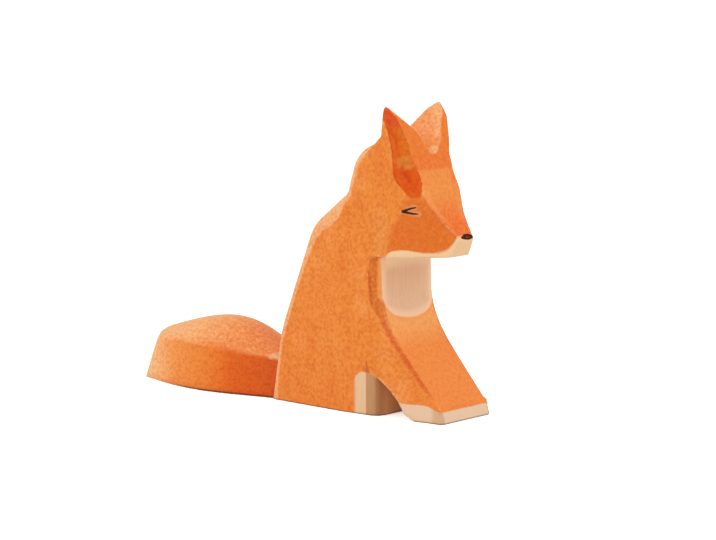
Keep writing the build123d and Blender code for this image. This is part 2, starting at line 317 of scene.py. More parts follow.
class Surface(Tree):
    """The tree of a material, with the places and patterns that its colours follow."""

    GLOSS = 0.15

    def __init__(self, name: str, front: float = 0.0) -> None:
        """Starts a material.

        Args:
            name: Name of the material.
            front: Place of the paw tips along the fox, in millimetres.
        """
        self.material = bpy.data.materials.new(name)
        self.material.use_nodes = True
        super().__init__(self.material.node_tree)
        place = self.node("ShaderNodeTexCoord").outputs["Object"]
        scaled = self.node(
            "ShaderNodeVectorMath", {"operation": "SCALE"}, {0: place, "Scale": 1 / MM}
        )
        self.place = scaled.outputs[0]
        parts = self.node("ShaderNodeSeparateXYZ", sockets={0: self.place})
        self.along_fox = Field(self, parts.outputs[0])
        self.depth = front - self.along_fox
        self.offset = Field(self, parts.outputs[1])
        self.aside = abs(self.offset)
        self.height = Field(self, parts.outputs[2])

    def mark(self, mark: Mark) -> Field:
        """Field of a mark that the mesh carries."""
        node = self.node("ShaderNodeAttribute", {"attribute_name": mark.value})
        return Field(self, node.outputs["Fac"])

    def noise(
        self,
        size: float,
        detail: float = 2.0,
        rough: float = 0.5,
        stretch: tuple[float, float, float] = (1.0, 1.0, 1.0),
        shift: float = 0.0,
    ) -> Field:
        """Cloudy pattern from 0 to 1.

        Args:
            size: Size of its clouds in millimetres.
            detail: How many finer layers it has.
            rough: How strong the finer layers are.
            stretch: How much longer its clouds are along each axis.
            shift: Offset that makes it unlike other patterns of its size.

        Returns:
            The pattern.
        """
        scale = tuple(1 / (size * part) for part in stretch)
        node = self.node(
            "ShaderNodeMapping",
            {"vector_type": "POINT"},
            {"Vector": self.place, "Location": (shift, shift, shift), "Scale": scale},
        )
        sockets = {"Vector": node.outputs[0], "Scale": 1.0, "Detail": detail, "Roughness": rough}
        noise = self.node("ShaderNodeTexNoise", {"noise_dimensions": "3D"}, sockets)
        return Field(self, noise.outputs["Fac"])

    def blend(self, first: object, second: object, share: object) -> bpy.types.NodeSocket:
        """Goes from one colour to another.

        Args:
            first: Colour where the share is 0.
            second: Colour where the share is 1.
            share: Share of the second colour.

        Returns:
            The output with the mixed colour.
        """
        node = self.node(
            "ShaderNodeMix", {"data_type": "RGBA"}, {0: share, 6: first, 7: second}
        )
        return node.outputs[2]

    def tint(self, base: object, shade: object, share: object) -> bpy.types.NodeSocket:
        """Multiplies a colour by another.

        Args:
            base: Colour of the surface.
            shade: Colour that it is multiplied by.
            share: How much of the shade is used.

        Returns:
            The output with the shaded colour.
        """
        settings = {"data_type": "RGBA", "blend_type": "MULTIPLY"}
        return self.node("ShaderNodeMix", settings, {0: share, 6: base, 7: shade}).outputs[2]

    def ramp(self, value: Field, stops: Sequence[tuple[float, Colour]]) -> bpy.types.NodeSocket:
        """Colours along a field.

        Args:
            value: The field.
            stops: Values of the field, rising, with the colour at each.

        Returns:
            The output with the colour.
        """
        low, span = stops[0][0], stops[-1][0] - stops[0][0]
        shares = [((place - low) / span, colour) for place, colour in stops]
        node = self.node("ShaderNodeValToRGB", {"stops": shares}, {0: (value - low) / span})
        return node.outputs[0]

    def finish(
        self, colour: object, rough: object, relief: Field, depth: float = 0.05
    ) -> bpy.types.Material:
        """Ends the tree in a surface shader.

        Args:
            colour: Base colour.
            rough: Roughness.
            relief: Pattern of the fine relief, from 0 to 1.
            depth: Height of the relief in millimetres.

        Returns:
            The material.
        """
        bump = self.node("ShaderNodeBump", sockets={"Distance": depth * MM, "Height": relief})
        sockets = {
            "Base Color": colour,
            "Roughness": rough,
            "Specular IOR Level": self.GLOSS,
            "Normal": bump.outputs[0],
        }
        shader = self.node("ShaderNodeBsdfPrincipled", sockets=sockets)
        self.node("ShaderNodeOutputMaterial", sockets={0: shader.outputs[0]})
        return self.material


class Coat:
    """The colour of a surface, built up in layers."""

    def __init__(self, surface: Surface, colour: object) -> None:
        """Starts with the lowest layer.

        Args:
            surface: The surface that it covers.
            colour: Colour of the layer.
        """
        self.surface = surface
        self.colour = colour

    def paint(self, colour: object, share: object) -> None:
        """Covers the layers below with a share of a colour."""
        self.colour = self.surface.blend(self.colour, colour, share)

    def shade(self, colour: object, share: object) -> None:
        """Multiplies the layers below by a share of a colour."""
        self.colour = self.surface.tint(self.colour, colour, share)


@dataclass(frozen=True)
class BodyFinish:
    """Thin orange stain with bare wood at the jaw, chest and paws."""

    front: float
    orange: Colour = tone(238, 139, 54)
    deep_orange: Colour = tone(231, 121, 40)
    light_orange: Colour = tone(246, 158, 84)
    # Painted shade on the cheeks, which turn away from the light
    cheek_shade: Colour = tone(224, 108, 29)
    # Painted light on the flat side of the neck, which faces the light
    neck_glow: Colour = tone(237, 152, 74)
    front_far: Colour = tone(246, 110, 48)
    front_streak: Colour = tone(247, 164, 92)
    bevel: Colour = tone(216, 114, 40)
    bevel_shade: Colour = tone(214, 150, 110)
    leg_line: Colour = tone(210, 86, 24)
    ridge: Colour = tone(214, 88, 20)
    back_edge: Colour = tone(248, 182, 126)
    worn: Colour = tone(248, 196, 142)
    crease_shade: Colour = tone(212, 150, 120)
    mottle_shade: Colour = tone(238, 208, 184)
    floor_shade: Colour = tone(134, 100, 80)
    hollow_tip: Colour = tone(230, 86, 30)
    hollow_middle: Colour = tone(230, 104, 18)
    hollow_front: Colour = tone(225, 116, 28)
    hollow_worn: Colour = tone(226, 138, 56)
    hollow_bowl: Colour = tone(225, 92, 8)
    hollow_shade: Colour = tone(216, 170, 140)
    ear_inside: Colour = tone(244, 166, 106)
    ear_streak: Colour = tone(247, 184, 128)
    ear_spot: Colour = tone(252, 200, 150)
    ear_shade: Colour = tone(214, 178, 150)
    eye_rim: Colour = tone(242, 172, 116)
    nose: Colour = tone(66, 20, 8)
    nose_glint: Colour = tone(140, 60, 30)
    jaw: Colour = tone(243, 202, 156)
    jaw_streak: Colour = tone(232, 190, 146)
    chest: Colour = tone(232, 190, 153)
    chest_streak: Colour = tone(222, 176, 138)
    chest_top_light: Colour = tone(255, 234, 196)
    chest_rim: Colour = tone(248, 204, 166)
    paw: Colour = tone(234, 200, 169)
    paw_streak: Colour = tone(232, 192, 156)
    paw_corner: Colour = tone(210, 166, 126)
    hind_edge: Colour = tone(234, 196, 156)
    hind_edge_streak: Colour = tone(226, 184, 140)
    # Painted shade: darker copies of the bare wood for the rounded corners under the belly
    hind_corner_shade: Colour = tone(196, 146, 102)
    hind_corner_shade_streak: Colour = tone(190, 138, 94)
    hind_front: Colour = tone(182, 126, 82)
    # Painted light: paler wood for the faces deep under the arch
    hind_inside_light: Colour = tone(236, 174, 116)
    kerf: Colour = tone(190, 92, 28)

    # Depths of edges at heights
    cheek_rear: Points = ((46, 20.6), (53, 19.4), (60, 16.0), (64, 14.5))
    ear_front: Points = ((60, 9.3), (75.7, 13.9), (79.7, 14.5), (86, 16.8), (90, 20.4))
    kerf_middle: Points = ((12.4, 26.8), (16.2, 27.3))
    kerf_half: Points = ((12.4, 0.8), (16.2, 0.15))

    # Heights of edges at depths, and how soft the edge of the jaw's bare wood is
    jaw_line: Points = (
        (0, 53.4), (1.2, 53.1), (1.9, 51.8), (2.7, 50.6), (3.9, 49.3), (5.2, 48.7), (7.0, 48.3),
        (9, 48.2), (14.2, 48.9), (17, 48.6), (19, 47.9), (20.6, 46.4), (24, 45.0),
    )
    jaw_soft: Points = ((0, 0.7), (5, 0.7), (8, 0.35), (24, 0.3))
    paw_line: Points = (
        (0, 3.3), (1.5, 3.5), (3.8, 4.4), (6.2, 5.0), (9.8, 4.9), (13.3, 4.8), (17, 5.2),
    )
    hind_line: Points = ((22, 11.4), (27.4, 12.5), (29, 12.5), (30.4, 11.8), (32.6, 8.4))
    arch_line: Points = ((21.6, 9.9), (22.9, 10.6), (25.0, 11.3))

    # Lower edge of the chest patch at offsets, and half its width
    chest_line: Points = (
        (-12, 35.4), (-10.9, 33.3), (-9.6, 30.9), (-7, 29.2), (-2.8, 28.2), (1.7, 27.9),
        (6.3, 28.6), (9.8, 30.2), (11.3, 32.3), (12, 33.4),
    )
    chest_half: float = 11.5

    # Middle and half width of the nose, and half its height at offsets
    nose_offset: float = 0.3
    nose_height: float = 52.65
    nose_half: float = 3.0
    nose_line: Points = ((-3.4, 0.2), (-1.8, 0.6), (1.0, 0.95), (3.4, 0.85))
    nose_flat: float = 1.35

    def build(self) -> bpy.types.Material:
        """Makes the material.

        Returns:
            The material of the body.
        """
        s = Surface("stained_wood", self.front)
        fine = s.noise(1.0, 1.5, 0.5)
        cloud = s.noise(7.5, 3, 0.55, stretch=(1, 1, 1.5))
        drift = s.noise(2.6, 3, 0.6, shift=9.0)
        fibre = s.noise(0.42, 3, 0.6, stretch=(1, 1, 22))
        streak = fibre.rise(0.42, 0.68)
        wobble = (drift - 0.5) * 1.1

        coat = Coat(s, self.orange)
        coat.paint(self.deep_orange, cloud.rise(0.5, 0.72) * 0.6)
        coat.paint(self.light_orange, cloud.fall(0.3, 0.5) * 0.5)
        cheek_shade = self._sides(s, coat)
        self._front(s, coat, wobble)
        self._ears(s, coat, drift)
        self._edges(s, coat, drift)
        self._mottle(s, coat, fine, cheek_shade)
        bare = self._hind_paws(s, coat, streak)
        bare = bare.most(self._forepaws(s, coat, wobble, streak))
        bare = bare.most(self._chest(s, coat, wobble, streak))
        bare = bare.most(self._jaw(s, coat, wobble, streak))
        # Painted contact shadow: the lowest half millimetre is darkened where the wood meets the
        # floor.
        coat.shade(self.floor_shade, s.height.fall(0.1, 0.6) * 0.8)
        ink = self._nose(s, coat, fine)

        rough = Sheen.STAINED.value + bare * (Sheen.BARE.value - Sheen.STAINED.value)
        rough = rough + (fine - 0.5) * 0.12 + ink * 0.15
        return s.finish(coat.colour, rough, fibre * 0.6 + fine * 0.4)

    def _sides(self, s: Surface, coat: Coat) -> Field:
        """Paints light on the flat side of the neck and shade on the cheeks, and stains the sides
        of the forelegs paler.

        Args:
            s: Tree of the material.
            coat: Colour so far.

        Returns:
            The mask of the painted shade on the cheeks.
        """
        # Painted light: the flat side of the neck is made paler where it faces the light.
        glow = s.depth.band(19.5, 25.0, 4.0) * s.height.band(46, 60, 7)
        coat.paint(self.neck_glow, glow * 0.6)
        # Painted shade: the cheeks, which turn away from the light, are made darker.
        cheek_shade = (s.depth - s.height.along(self.cheek_rear)).fall(-2.2, 0.8)
        cheek_shade = cheek_shade * s.height.band(46.6, 64, 3)
        coat.paint(self.cheek_shade, cheek_shade * 0.85)
        pale_leg = s.depth.band(11, 17.5, 3.0) * s.height.band(5, 12, 4)
        coat.paint(self.light_orange, pale_leg * 0.6)
        return cheek_shade

    def _front(self, s: Surface, coat: Coat, wobble: Field) -> None:
        """Colours the forelegs' front, the muzzle, the forehead and the fronts of the ears.

        Args:
            s: Tree of the material.
            coat: Colour so far.
            wobble: Uneven edge of the stain, in millimetres.
        """
        stops = (
            (0, tone(242, 136, 58)),
            (20, tone(243, 140, 60)),
            (26, tone(248, 170, 96)),
            (46, tone(248, 170, 96)),
            (47, tone(239, 110, 32)),
            (57, tone(240, 113, 34)),
            (61, tone(242, 132, 53)),
            (65, tone(244, 148, 67)),
            (71.0, tone(244, 146, 66)),
            (71.9, tone(240, 119, 42)),
            (75.4, tone(240, 120, 42)),
            (76.4, tone(240, 126, 37)),
            (88, tone(238, 120, 38)),
        )
        front = Coat(s, s.ramp(s.height + wobble, stops))
        far = s.offset.rise(0.5, 4.5) * s.height.band(46, 58, 5)
        far = far.most(s.offset.rise(4.5, 8.5) * s.height.band(54, 71, 4))
        front.paint(self.front_far, far * 0.85)
        front.paint(self.front_streak, s.mark(Mark.STREAK) * 0.45)
        coat.paint(front.colour, s.mark(Mark.FRONT))

    def _ears(self, s: Surface, coat: Coat, drift: Field) -> None:
        """Colours the hollows and the insides of the ears.

        Args:
            s: Tree of the material.
            coat: Colour so far.
            drift: Uneven pattern of the stain.
        """
        stops = (
            (62.8, self.cheek_shade),
            (66.4, self.hollow_bowl),
            (71, self.hollow_bowl),
            (72, self.hollow_middle),
            (82, self.hollow_middle),
            (85, tone(226, 92, 34)),
            (89, self.hollow_tip),
        )
        hollow = Coat(s, s.ramp(s.height + (drift - 0.5) * 1.5, stops))
        gap = s.depth - s.height.along(self.ear_front)
        hollow.paint(self.hollow_front, gap.fall(2.2, 3.4) * s.height.band(72, 84, 2.0) * 0.85)
        worn = s.height.band(72.2, 75.4, 1.6) * gap.band(0.2, 3.6, 1.4)
        hollow.paint(self.hollow_worn, worn * drift.rise(0.2, 0.6))
        mark = s.mark(Mark.HOLLOW)
        hollow.shade(self.hollow_shade, mark.fall(0.5, 1.0) * s.height.rise(65.5, 68) * 0.6)
        coat.paint(hollow.colour, mark.rise(0.1, 0.6))

        inside = Coat(s, self.ear_inside)
        inside.paint(self.ear_streak, gap.band(-0.5, 2.3, 0.7) * 0.8)
        inside.shade(self.ear_shade, s.noise(0.9, 2, 0.6, shift=2.0).rise(0.54, 0.72) * 0.4)
        inside.paint(self.light_orange, s.height.fall(79.2, 80.6) * 0.85)
        spot = s.height.fall(77.3, 78.0) * gap.fall(1.6, 2.6)
        inside.paint(self.ear_spot, spot * drift.rise(0.25, 0.45))
        coat.paint(inside.colour, s.mark(Mark.EAR_INSIDE))

    def _edges(self, s: Surface, coat: Coat, drift: Field) -> None:
        """Colours the bevels, the ridge of the muzzle, the rims of the eyes and worn edges, and
        paints shade into the creases.

        Args:
            s: Tree of the material.
            coat: Colour so far.
            drift: Uneven pattern of the stain.
        """
        bevel = s.mark(Mark.BEVEL)
        wide = s.height.rise(26, 31)
        coat.paint(self.bevel, bevel * wide * 0.9)
        coat.shade(self.bevel_shade, bevel * (1 - bevel) * wide * 2.4)
        coat.paint(self.leg_line, bevel * (1 - wide) * s.height.rise(5, 10) * 0.8)
        coat.paint(self.ridge, s.mark(Mark.RIDGE) * s.height.fall(59, 64) * 0.6)
        coat.paint(self.eye_rim, s.mark(Mark.EYE_RIM) * drift.rise(0.2, 0.5) * 0.5)
        coat.paint(self.back_edge, s.mark(Mark.BACK_EDGE) * drift.rise(0.05, 0.35))
        outside = s.mark(Mark.HOLLOW).fall(0.0, 0.3)
        coat.paint(self.worn, s.mark(Mark.WORN) * drift.rise(0.25, 0.65) * outside * 0.6)
        # Painted shade: the creases are darkened.
        coat.shade(self.crease_shade, s.mark(Mark.CREASE) * 0.5)

    def _mottle(self, s: Surface, coat: Coat, fine: Field, cheek_shade: Field) -> None:
        """Mottles the stain, less so on the fronts and the cheeks.

        Args:
            s: Tree of the material.
            coat: Colour so far.
            fine: Fine pattern of the stain.
            cheek_shade: Mask of the painted shade on the cheeks.
        """
        forward = s.mark(Mark.FRONT)
        even = cheek_shade * (1 - forward)
        coat.shade(self.mottle_shade, fine.rise(0.36, 0.7) * (0.8 - forward * 0.35 - even * 0.4))
        spots = s.noise(0.9, 1.5, 0.5, shift=4.0).rise(0.42, 0.72)
        outside = s.mark(Mark.HOLLOW).fall(0.0, 0.3)
        coat.paint(self.light_orange, spots * outside * (1 - even * 0.5) * 0.3)

    def _hind_paws(self, s: Surface, coat: Coat, streak: Field) -> Field:
        """Leaves the hind paws' fronts bare, with painted shade on the rounded corners and painted
        light deep under the arch, and draws the saw's kerf above them.

        Args:
            s: Tree of the material.
            coat: Colour so far.
            streak: Streaks of the upright wood fibres.

        Returns:
            The mask of the bare wood.
        """
        lean = abs(s.depth - s.height.along(self.kerf_middle))
        kerf = (s.height.along(self.kerf_half) - lean).rise(-0.15, 0.15)
        kerf = kerf * s.height.band(12.4, 16.0, 0.6) * s.aside.rise(11.5, 12.0)
        # The dark kerf line is partly stain in the cut and partly painted shade of the slit that
        # the mesh plugs.
        coat.paint(self.kerf, kerf * 0.7)
        below = (s.depth.along(self.hind_line) - s.height).rise(-0.3, 0.4)
        inner = (s.depth.along(self.arch_line) - s.height).rise(-0.1, 0.2)
        inner = inner * s.depth.band(21.6, 25.0, 0.5)
        side = s.depth.band(24.3, 27.4, 0.5) * below
        edge = s.depth.rise(27.2, 27.6) * s.depth.fall(30.8, 32.3) * below
        # Painted light: faces deep under the arch get a paler wood colour than those near the
        # side.
        coat.paint(s.blend(self.hind_front, self.hind_inside_light, s.aside.fall(8.5, 11.0)), inner)
        # Painted shade: the rounded corners under the belly get a darker copy of the bare wood.
        coat.paint(s.blend(self.hind_corner_shade, self.hind_corner_shade_streak, streak * 0.6), side)
        coat.paint(s.blend(self.hind_edge, self.hind_edge_streak, streak * 0.5), edge)
        return inner.most(side).most(edge)

    def _forepaws(self, s: Surface, coat: Coat, wobble: Field, streak: Field) -> Field:
        """Leaves the forepaws bare.

        Args:
            s: Tree of the material.
            coat: Colour so far.
            wobble: Uneven edge of the stain, in millimetres.
            streak: Streaks of the upright wood fibres.

        Returns:
            The mask of the bare wood.
        """
        wood = Coat(s, self.paw)
        wood.paint(self.paw_streak, streak * 0.5)
        wood.paint(self.paw_corner, s.aside.band(10.2, 11.9, 0.6) * s.depth.fall(3.0, 4.5) * 0.8)
        paw = (s.depth.along(self.paw_line) - s.height + wobble * 0.35).rise(-0.2, 0.2)
        paw = paw * s.depth.fall(16.8, 17.4)
        coat.paint(wood.colour, paw)
        return paw

    def _chest(self, s: Surface, coat: Coat, wobble: Field, streak: Field) -> Field:
        """Leaves a rounded patch of the chest bare, with a pale rim and painted light at its top
        under the chin.

        Args:
            s: Tree of the material.
            coat: Colour so far.
            wobble: Uneven edge of the stain, in millimetres.
            streak: Streaks of the upright wood fibres.

        Returns:
            The mask of the bare wood.
        """
        margin = (s.height - s.offset.along(self.chest_line)).least(self.chest_half - s.aside)
        margin = margin + wobble * 0.5
        place = s.depth.band(14.5, 23.6, 0.8) * s.height.fall(46.0, 46.3)
        coat.paint(self.light_orange, margin.rise(-1.4, -0.4) * place * 0.7)
        wood = Coat(s, self.chest)
        wood.paint(self.chest_streak, streak * 0.6)
        # Painted light: the top of the patch is made paler to offset the shade under the chin.
        wood.paint(self.chest_top_light, s.height.rise(41, 46) * 0.9)
        wood.paint(self.chest_rim, margin.fall(0.7, 2.8) * 0.85)
        patch = margin.rise(-0.2, 0.3) * place
        coat.paint(wood.colour, patch)
        return patch

    def _jaw(self, s: Surface, coat: Coat, wobble: Field, streak: Field) -> Field:
        """Leaves the chin and the lower edge of the jaw bare.

        Args:
            s: Tree of the material.
            coat: Colour so far.
            wobble: Uneven edge of the stain, in millimetres.
            streak: Streaks of the upright wood fibres.

        Returns:
            The mask of the bare wood.
        """
        gap = s.depth.along(self.jaw_line) - s.height + wobble * 0.4
        jaw = (gap / s.depth.along(self.jaw_soft)).rise(-1, 1) * s.height.rise(45.9, 46.2)
        coat.paint(s.blend(self.jaw, self.jaw_streak, streak * 0.5), jaw)
        return jaw

    def _nose(self, s: Surface, coat: Coat, fine: Field) -> Field:
        """Dabs the nose on the tip of the muzzle.

        Args:
            s: Tree of the material.
            coat: Colour so far.
            fine: Fine pattern of the stain.

        Returns:
            The mask of the nose.
        """
        across = (s.offset - self.nose_offset) / self.nose_half
        up = (s.height - self.nose_height) / s.offset.along(self.nose_line)
        up = up.most(up * -self.nose_flat)
        reach = (across * across + up * up) ** 0.5 + (fine - 0.5) * 0.25
        ink = reach.fall(0.92, 1.06) * s.depth.fall(2.2, 2.8)
        glint = reach.fall(0.2, 0.7) * fine.rise(0.35, 0.6)
        coat.paint(s.blend(self.nose, self.nose_glint, glint * 0.6), ink)
        return ink


@dataclass(frozen=True)
class TailFinish:
    """Thin orange stain, red towards the root and pale on the crest and the tip."""

    worn: Colour = tone(248, 204, 156)
    reddish: Colour = tone(230, 104, 36)
    low_shade: Colour = tone(226, 178, 150)
    floor_shade: Colour = tone(70, 40, 28)
    mottle_shade: Colour = tone(232, 200, 176)
    fibre_shade: Colour = tone(230, 200, 180)

    def build(self) -> bpy.types.Material:
        """Makes the material.

        Returns:
            The material of the tail.
        """
        s = Surface("tail_wood")
        fine = s.noise(0.9, 2, 0.5)
        cloud = s.noise(5.0, 3, 0.6, stretch=(2.2, 1, 1))
        drift = s.noise(2.2, 3, 0.6, shift=7.0)
        fibre = s.noise(0.45, 3, 0.6, stretch=(20, 1, 1))
        place = s.along_fox + (cloud - 0.5) * 7
        side = s.ramp(
            place,
            (
                (-62, tone(252, 218, 174)),
                (-58, tone(250, 196, 140)),
                (-51, tone(251, 186, 122)),
                (-43, tone(246, 154, 76)),
                (-30, tone(241, 139, 55)),
                (-24, tone(237, 124, 42)),
                (-19, tone(230, 106, 28)),
                (-3, tone(214, 90, 26)),
            ),
        )
        crest = s.ramp(
            place,
            (
                (-62, tone(248, 208, 162)),
                (-52, tone(246, 182, 124)),
                (-35, tone(247, 178, 116)),
                (-18, tone(246, 158, 92)),
                (-4, tone(244, 148, 76)),
            ),
        )
        top = (s.mark(Mark.TOP) + (drift - 0.5) * 0.5).rise(0.1, 0.9)
        coat = Coat(s, side)
        coat.paint(crest, top)
        # Painted shade towards the floor, and a painted contact shadow along the lower edge of the
        # tail.
        coat.shade(self.low_shade, s.height.fall(0.3, 2.4) * 0.3)
        coat.shade(self.floor_shade, s.height.fall(0.2, 0.9) * s.along_fox.rise(-52, -30) * 0.9)
        grain = s.noise(0.8, 2, 0.6, stretch=(1.6, 1, 1), shift=3.0)
        coat.paint(self.reddish, grain.rise(0.4, 0.66) * s.along_fox.rise(-34, -20) * top * 0.4)
        coat.paint(self.worn, grain.fall(0.3, 0.46) * top * s.along_fox.rise(-44, -18) * 0.25)
        coat.paint(self.worn, s.mark(Mark.WORN) * drift.rise(0.3, 0.6) * 0.25)
        root = s.height.band(11.8, 14.6, 1.0) * s.along_fox.rise(-6.5, -4.6)
        coat.paint(self.worn, root * s.offset.fall(-7.5, -5.5) * 0.6)
        coat.shade(self.mottle_shade, fine.rise(0.42, 0.68) * 0.6)
        coat.shade(self.fibre_shade, fibre.rise(0.5, 0.72) * 0.4)
        rough = Sheen.STAINED.value + (fine - 0.5) * 0.14
        return s.finish(coat.colour, rough, fibre * 0.5 + fine * 0.5)


@dataclass(frozen=True)
class PegFinish:
    """Bare beech with its short flecks."""

    wood: Colour = tone(226, 190, 148)
    fleck: Colour = tone(186, 140, 98)

    def build(self) -> bpy.types.Material:
        """Makes the material.

        Returns:
            The material of the dowel.
        """
        s = Surface("dowel_wood")
        fleck = s.noise(0.5, 2, 0.6, stretch=(5, 1, 1)).rise(0.55, 0.7)
        colour = s.blend(self.wood, self.fleck, fleck * 0.6)
        return s.finish(colour, Sheen.BARE.value + fleck * 0.08, fleck, 0.03)


@dataclass(frozen=True)
class InkFinish:
    """Dark brown strokes of the closed eyes, thinner where the pen left the wood."""

    dark: Colour = tone(54, 18, 8)
    thin: Colour = tone(112, 48, 20)

    def build(self) -> bpy.types.Material:
        """Makes the material.

        Returns:
            The material of the strokes.
        """
        s = Surface("eye_ink")
        patch = s.noise(0.4, 3, 0.6).rise(0.45, 0.7)
        colour = s.blend(self.dark, self.thin, patch * 0.6)
        return s.finish(colour, Sheen.INK.value + patch * 0.15, patch, 0.01)


@dataclass(frozen=True)
class PaperFinish:
    """White paper that the fox stands on, plain white to the camera but for its shadow."""

    paper: Colour = tone(238, 238, 236)
    glow: Colour = tone(196, 196, 196)

    def build(self) -> bpy.types.Material:
        """Makes the material.

        Returns:
            The material of the floor.
        """
        s = Surface("floor_paper")
        sockets = {
            "Base Color": self.paper,
            "Roughness": Sheen.PAPER.value,
            "Emission Color": s.blend(tone(0, 0, 0), self.glow, s.seen()),
            "Emission Strength": 1.0,
        }
        shader = s.node("ShaderNodeBsdfPrincipled", sockets=sockets)
        s.node("ShaderNodeOutputMaterial", sockets={0: shader.outputs[0]})
        return s.material


class ShapeTree(Tree):
    """A tree that shapes a mesh, with named inputs for its sizes."""

    def __init__(self, name: str, inputs: dict[str, tuple[str, object]]) -> None:
        """Starts the tree with its inputs and its output.

        Args:
            name: Name of the tree.
            inputs: Names of the inputs, each with its socket type and its value.
        """
        group = bpy.data.node_groups.new(name, "GeometryNodeTree")
        super().__init__(group)
        group.interface.new_socket("Geometry", in_out="INPUT", socket_type="NodeSocketGeometry")
        group.interface.new_socket("Geometry", in_out="OUTPUT", socket_type="NodeSocketGeometry")
        for label, (kind, _) in inputs.items():
            group.interface.new_socket(label, in_out="INPUT", socket_type=kind)
        self.values = {label: value for label, (_, value) in inputs.items()}
        self.inputs = self.node("NodeGroupInput").outputs

    def size(self, label: str) -> Field:
        """Field of a named input."""
        return Field(self, self.inputs[label])

    def close(self, geometry: bpy.types.NodeSocket, finish: bpy.types.NodeSocket) -> None:
        """Ends the tree in real geometry with its material.

        Args:
            geometry: Output with the shape.
            finish: Output with the material.
        """
        real = self.node("GeometryNodeRealizeInstances", sockets={0: geometry})
        dressed = self.node(
            "GeometryNodeSetMaterial", sockets={"Geometry": real.outputs[0], "Material": finish}
        )
        self.node("NodeGroupOutput", sockets={0: dressed.outputs[0]})

    def apply(self, obj: bpy.types.Object) -> None:
        """Shapes an object and keeps the result as its plain mesh.

        Args:
            obj: The object whose mesh is shaped.
        """
        modifier = obj.modifiers.new("shape", "NODES")
        modifier.node_group = self.tree
        for item in self.tree.interface.items_tree:
            if item.item_type == "SOCKET" and item.name in self.values:
                modifier[item.identifier] = self.values[item.name]
        keep_result(obj)


def keep_result(obj: bpy.types.Object) -> None:
    """Turns what an object's modifiers give into its plain mesh.

    Args:
        obj: The object, which loses its modifiers.
    """
    graph = bpy.context.evaluated_depsgraph_get()
    graph.update()
    mesh = bpy.data.meshes.new_from_object(obj.evaluated_get(graph))
    obj.modifiers.clear()
    obj.data = mesh


def linked(name: str, mesh: bpy.types.Mesh) -> bpy.types.Object:
    """Puts a mesh into the scene.

    Args:
        name: Name of the object and its mesh.
        mesh: The mesh.

    Returns:
        The new object at the origin.
    """
    mesh.name = name
    obj = bpy.data.objects.new(name, mesh)
    bpy.context.scene.collection.objects.link(obj)
    return obj


class Skin:
    """The points of a fine mesh, for rounding its edges and finding its ridges and creases."""

    def __init__(self, mesh: bpy.types.Mesh) -> None:
        """Reads a mesh.

        Args:
            mesh: The mesh, which is written back by write().
        """
        self.mesh = mesh
        count = len(mesh.vertices)
        flat = np.empty(count * 3, np.float32)
        mesh.vertices.foreach_get("co", flat)
        self.points = flat.reshape(-1, 3).astype(float) / MM
        ends = np.empty(len(mesh.edges) * 2, np.int32)
        mesh.edges.foreach_get("vertices", ends)
        self.first, self.second = ends[0::2], ends[1::2]
        links = np.bincount(self.first, minlength=count) + np.bincount(
            self.second, minlength=count
        )
        self.links = np.maximum(links, 1)

    def around(self, values: np.ndarray) -> np.ndarray:
        """Mean of each point's neighbours.

        Args:
            values: One number for each point.

        Returns:
            The means.
        """
        count = len(self.links)
        total = np.bincount(self.first, values[self.second], count)
        total += np.bincount(self.second, values[self.first], count)
        return total / self.links

    def relax(self, rounds: int, share: np.ndarray | float = 1.0) -> None:
        """Rounds the edges.

        Args:
            rounds: How often each point moves half way to its neighbours.
            share: How much of that each point moves, from 0 to 1.
        """
        for _ in range(rounds):
            for axis in range(3):
                values = self.points[:, axis]
                self.points[:, axis] = values + 0.5 * share * (self.around(values) - values)

    def bulge(self, rounds: int) -> np.ndarray:
        """How far the surface stands out at each point, less than 0 in a crease.

        Args:
            rounds: How often the result is evened out.

        Returns:
            The bulge in millimetres.
        """
        normals = self.normals()
        means = np.stack([self.around(self.points[:, axis]) for axis in range(3)], axis=1)
        bulge = ((self.points - means) * normals).sum(axis=1)
        for _ in range(rounds):
            bulge = self.around(bulge)
        return bulge

    def normals(self) -> np.ndarray:
        """Directions that the surface faces at its points."""
        flat = np.empty(len(self.mesh.vertices) * 3, np.float32)
        self.mesh.vertex_normals.foreach_get("vector", flat)
        return flat.reshape(-1, 3).astype(float)

    def write(self, low: Vector, high: Vector) -> None:
        """Writes the points back, kept inside a box.

        Args:
            low: Lowest corner of the box in metres.
            high: Highest corner of the box in metres.
        """
        self.points = np.clip(self.points, np.array(low) / MM, np.array(high) / MM)
        self.mesh.vertices.foreach_set("co", (self.points * MM).astype(np.float32).ravel())
        self.mesh.update()

    def put(self, mark: Mark, values: np.ndarray) -> None:
        """Stores a mark on the mesh.

        Args:
            mark: Which mark.
            values: Its value at each point.
        """
        attribute = self.mesh.attributes.new(mark.value, "FLOAT", "POINT")
        attribute.data.foreach_set("value", np.clip(values, 0, 1).astype(np.float32))


